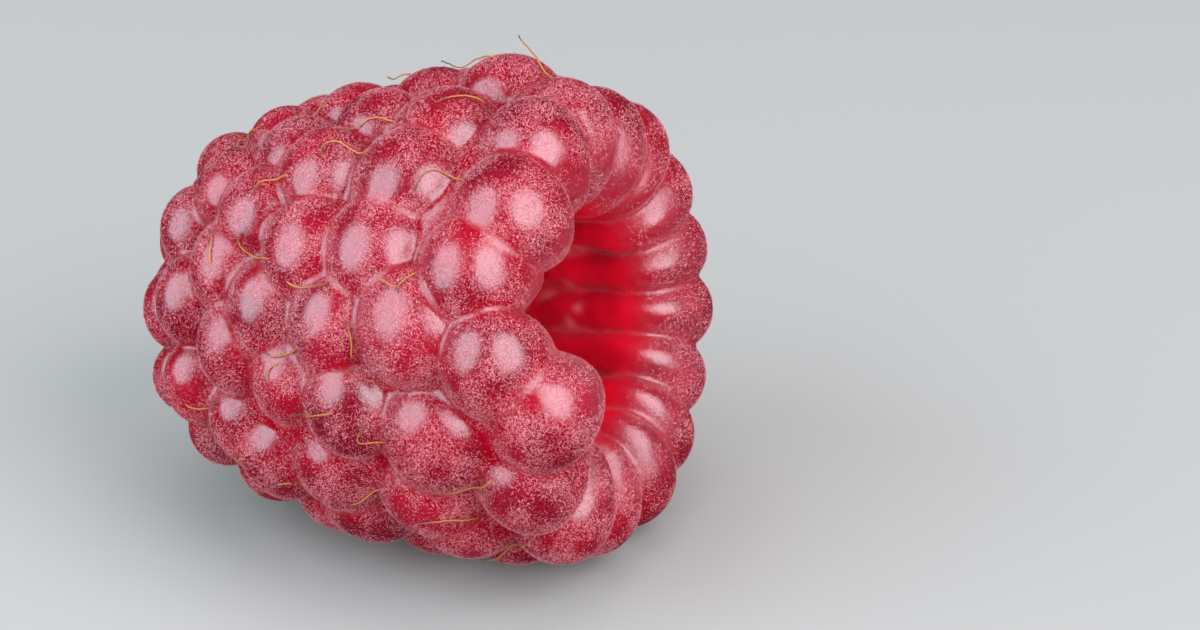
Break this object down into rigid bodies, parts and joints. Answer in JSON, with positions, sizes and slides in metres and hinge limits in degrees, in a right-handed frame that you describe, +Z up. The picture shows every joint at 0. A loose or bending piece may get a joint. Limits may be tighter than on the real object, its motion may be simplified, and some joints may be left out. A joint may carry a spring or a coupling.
{
  "type": "raspberry",
  "caption": "Picked raspberry lying on its side: a hollow blunt cone of fused round drupelets, open where the stalk came out.",
  "frame": {"origin": "middle of the footprint of the fruit's bounding box, on the surface it lies on", "axes": "+Z up, closed tip toward -X, open end toward +X and tilted up"},
  "size_m": [0.0242, 0.0216, 0.0215],
  "materials": {
    "fruit_skin": "translucent crimson fruit skin with a fine pale velvety down"
  },
  "bodies": {
    "root": {"drupelets": "fruit_skin"}
  },
  "joints": []
}
